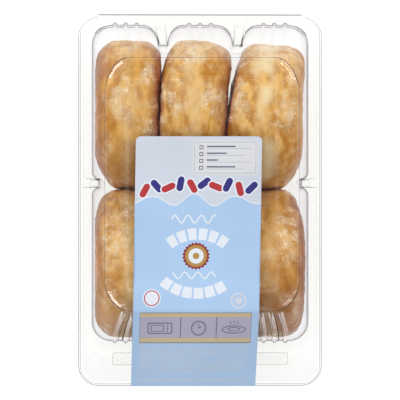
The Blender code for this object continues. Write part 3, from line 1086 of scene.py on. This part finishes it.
def label_outline():
    """The label's own edge, with its two back corners rounded."""
    r = 2.8
    half = LABEL_HALF / MM
    points = [(-half, LABEL_FRONT_Y / MM), (half, LABEL_FRONT_Y / MM)]
    for x, start in ((half - r, 0), (-half + r, 90)):
        points += bend((x, LABEL_BACK_Y / MM - r), (r, r), start, start + 90, 6)
    return points


def place_on_pack(u, y):
    """A place of the flat print, in millimetres, as a point of the label on the pack."""
    share = (LABEL_BACK_Y / MM - y) * MM / (LABEL_BACK_Y - LABEL_FRONT_Y)
    middle = LABEL_LEAN[0] + (LABEL_LEAN[1] - LABEL_LEAN[0]) * share
    return Vector((middle + u * MM, y * MM, (label_z(y) + 0.04) * MM))


def anticlockwise(outline):
    area = sum(a[0] * b[1] - b[0] * a[1] for a, b in zip(outline, outline[1:] + outline[:1]))
    return outline if area > 0 else outline[::-1]


def make_label():
    """Cut the print's shapes out of one sheet, bend it over the lid and give it thickness."""
    edge = label_outline()
    shapes = [("blue_ground", edge)] + label_art()
    verts, edges, faces = [], [], []
    for _, outline in shapes:
        outline = anticlockwise(outline)
        start = len(verts)
        verts += [Vector(p) for p in outline]
        faces.append(list(range(start, start + len(outline))))
    # The sheet is also cut across at every bend and at a few places between them
    bends = [y for y, _ in LABEL_CURVE[1:-1]] + [20.0, 0.0, -20.0, -75.0, -90.0]
    for y in bends:
        start = len(verts)
        verts += [Vector((u, y)) for u in range(-36, 37, 12)]
        edges += [(start + k, start + k + 1) for k in range(6)]
    cut = geometry.delaunay_2d_cdt(verts, edges, faces, 0, 1e-5)
    out_verts, _, out_faces, _, _, origins = cut
    slots = list(INKS)
    bm = bmesh.new()
    placed = [bm.verts.new(place_on_pack(v.x, v.y)) for v in out_verts]
    for corners, sources in zip(out_faces, origins):
        if 0 not in sources:
            continue
        face = bm.faces.new([placed[k] for k in corners])
        face.material_index = slots.index(shapes[max(sources)][0])
        face.smooth = False
    loose = [v for v in bm.verts if not v.link_faces]
    bmesh.ops.delete(bm, geom=loose, context="VERTS")
    bmesh.ops.recalc_face_normals(bm, faces=bm.faces)
    bm.faces.ensure_lookup_table()
    if sum(f.normal.z for f in bm.faces) < 0:
        bmesh.ops.reverse_faces(bm, faces=bm.faces)
    mesh = finished_mesh("printed_label", bm)
    for name, ink in INKS.items():
        mesh.materials.append(printed_paper(name, ink))
    mesh.materials.append(printed_paper("bare_paper", "#E6E6E2"))
    label = new_piece("printed_label", mesh, "lid")
    paper = label.modifiers.new("paper", "SOLIDIFY")
    paper.thickness = PAPER
    paper.offset = 1
    paper.material_offset = len(INKS)
    paper.material_offset_rim = len(INKS)
    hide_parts("label")


# The stage

def make_floor():
    bm = bmesh.new()
    bmesh.ops.create_grid(bm, x_segments=1, y_segments=1, size=3.0)
    mesh = finished_mesh("floor", bm)
    floor = new_object("floor", mesh)
    floor.location.z = CAD_BOX[0][2] - FLOOR_BELOW
    mat, tree, output = new_material("opal_acrylic_light_table")
    sheet = add_node(
        tree,
        "ShaderNodeBsdfPrincipled",
        {
            "Base Color": linear("#9EA1A4"),
            "Roughness": 0.9,
            "Emission Color": (0.98, 0.99, 1, 1),
            "Emission Strength": 0.86,
        },
    ).outputs[0]
    tree.links.new(sheet, output.inputs["Surface"])
    mesh.materials.append(mat)


def add_softbox(name, place, target, size, power):
    lamp = bpy.data.lights.new(name, "AREA")
    lamp.shape = "RECTANGLE"
    lamp.size, lamp.size_y = size
    lamp.energy = power
    ob = new_object(name, lamp)
    aim = (Vector(target) - Vector(place)).normalized()
    across = aim.cross(Vector((0, 0, 1))).normalized()
    turn = Matrix((across, across.cross(aim), -aim)).transposed()
    ob.matrix_world = Matrix.Translation(place) @ turn.to_4x4()


def light_scene():
    """A white tent, brightest above the hinge and dimmer low at the front, with a dark opening
    for the lens, and six narrow softboxes that leave the short glints on the lid's bends."""
    world = bpy.data.worlds.new("light_tent")
    bpy.context.scene.world = world
    world.use_nodes = True
    tree = world.node_tree
    direction = add_node(tree, "ShaderNodeTexCoord").outputs["Generated"]
    # It is brightest 60 degrees up at the back, and the opening is 20 to 35 degrees wide
    toward, upward = (
        add_node(
            tree, "ShaderNodeVectorMath", {0: direction, 1: way}, operation="DOT_PRODUCT"
        ).outputs["Value"]
        for way in ((0.0, 0.5, 0.866), (0.0, 0.0, 1.0))
    )
    level, opening = (
        add_node(tree, "ShaderNodeMapRange", {0: value, 1: low, 2: high, 3: start, 4: end}).outputs[0]
        for value, low, high, start, end in (
            (toward, -0.2, 1.0, 0.26, 1.28),
            (upward, 0.955, 0.985, 1.0, 0.15),
        )
    )
    open_level = add_node(tree, "ShaderNodeMath", {0: level, 1: opening}, operation="MULTIPLY").outputs[0]
    tree.links.new(open_level, tree.nodes["Background"].inputs["Strength"])
    tree.nodes["Background"].inputs["Color"].default_value = (1.0, 1.0, 1.0, 1.0)
    # Place across and along, width and depth in metres, and brightness
    strips = (
        ("back_left", -0.8, 0.8, 0.7, 0.09, 10.0),
        ("back_right", 0.8, 0.8, 0.8, 0.09, 10.0),
        ("front_left", -0.8, -0.8, 1.2, 0.09, 10.0),
        ("front_right", 0.8, -0.8, 0.4, 0.06, 7.0),
        ("left", -1.05, 0.0, 0.9, 0.08, 5.0),
        ("right", 1.05, 0.0, 0.9, 0.08, 6.0),
    )
    for name, x, y, width, deep, brightness in strips:
        power = brightness * pi * width * deep
        add_softbox("strip_" + name, (x, y, SOFTBOX_Z), (0, 0, 0.09), (width, deep), power)


def place_camera():
    lens = bpy.data.cameras.new("camera")
    lens.sensor_width = 36
    lens.sensor_fit = "AUTO"
    distance = (CAMERA_AT - CAMERA_TO).length
    lens.lens = lens.sensor_width * distance / FRAME_WIDTH
    lens.clip_end = 20
    camera = new_object("camera", lens)
    back = (CAMERA_AT - CAMERA_TO).normalized()
    right = Vector((0, 1, 0)).cross(back).normalized()
    up = back.cross(right)
    turn = Matrix((right, up, back)).transposed()
    camera.matrix_world = Matrix.Translation(CAMERA_AT) @ turn.to_4x4()
    bpy.context.scene.camera = camera


def main():
    bpy.context.scene.view_settings.view_transform = "Standard"
    place_camera()
    light_scene()
    make_floor()
    films = [clear_pet(*film) for film in FILMS]
    outline = cavity_outline()
    make_tray(outline, films)
    make_lid(outline, films)
    for name, *sizes in FLANGE_BARS:
        raised_bar(name, *(size * MM for size in sizes), films[DRAWN])
    hinge_fold(films[CRIMP_SHADE])
    make_doughnuts()
    make_label()


main()
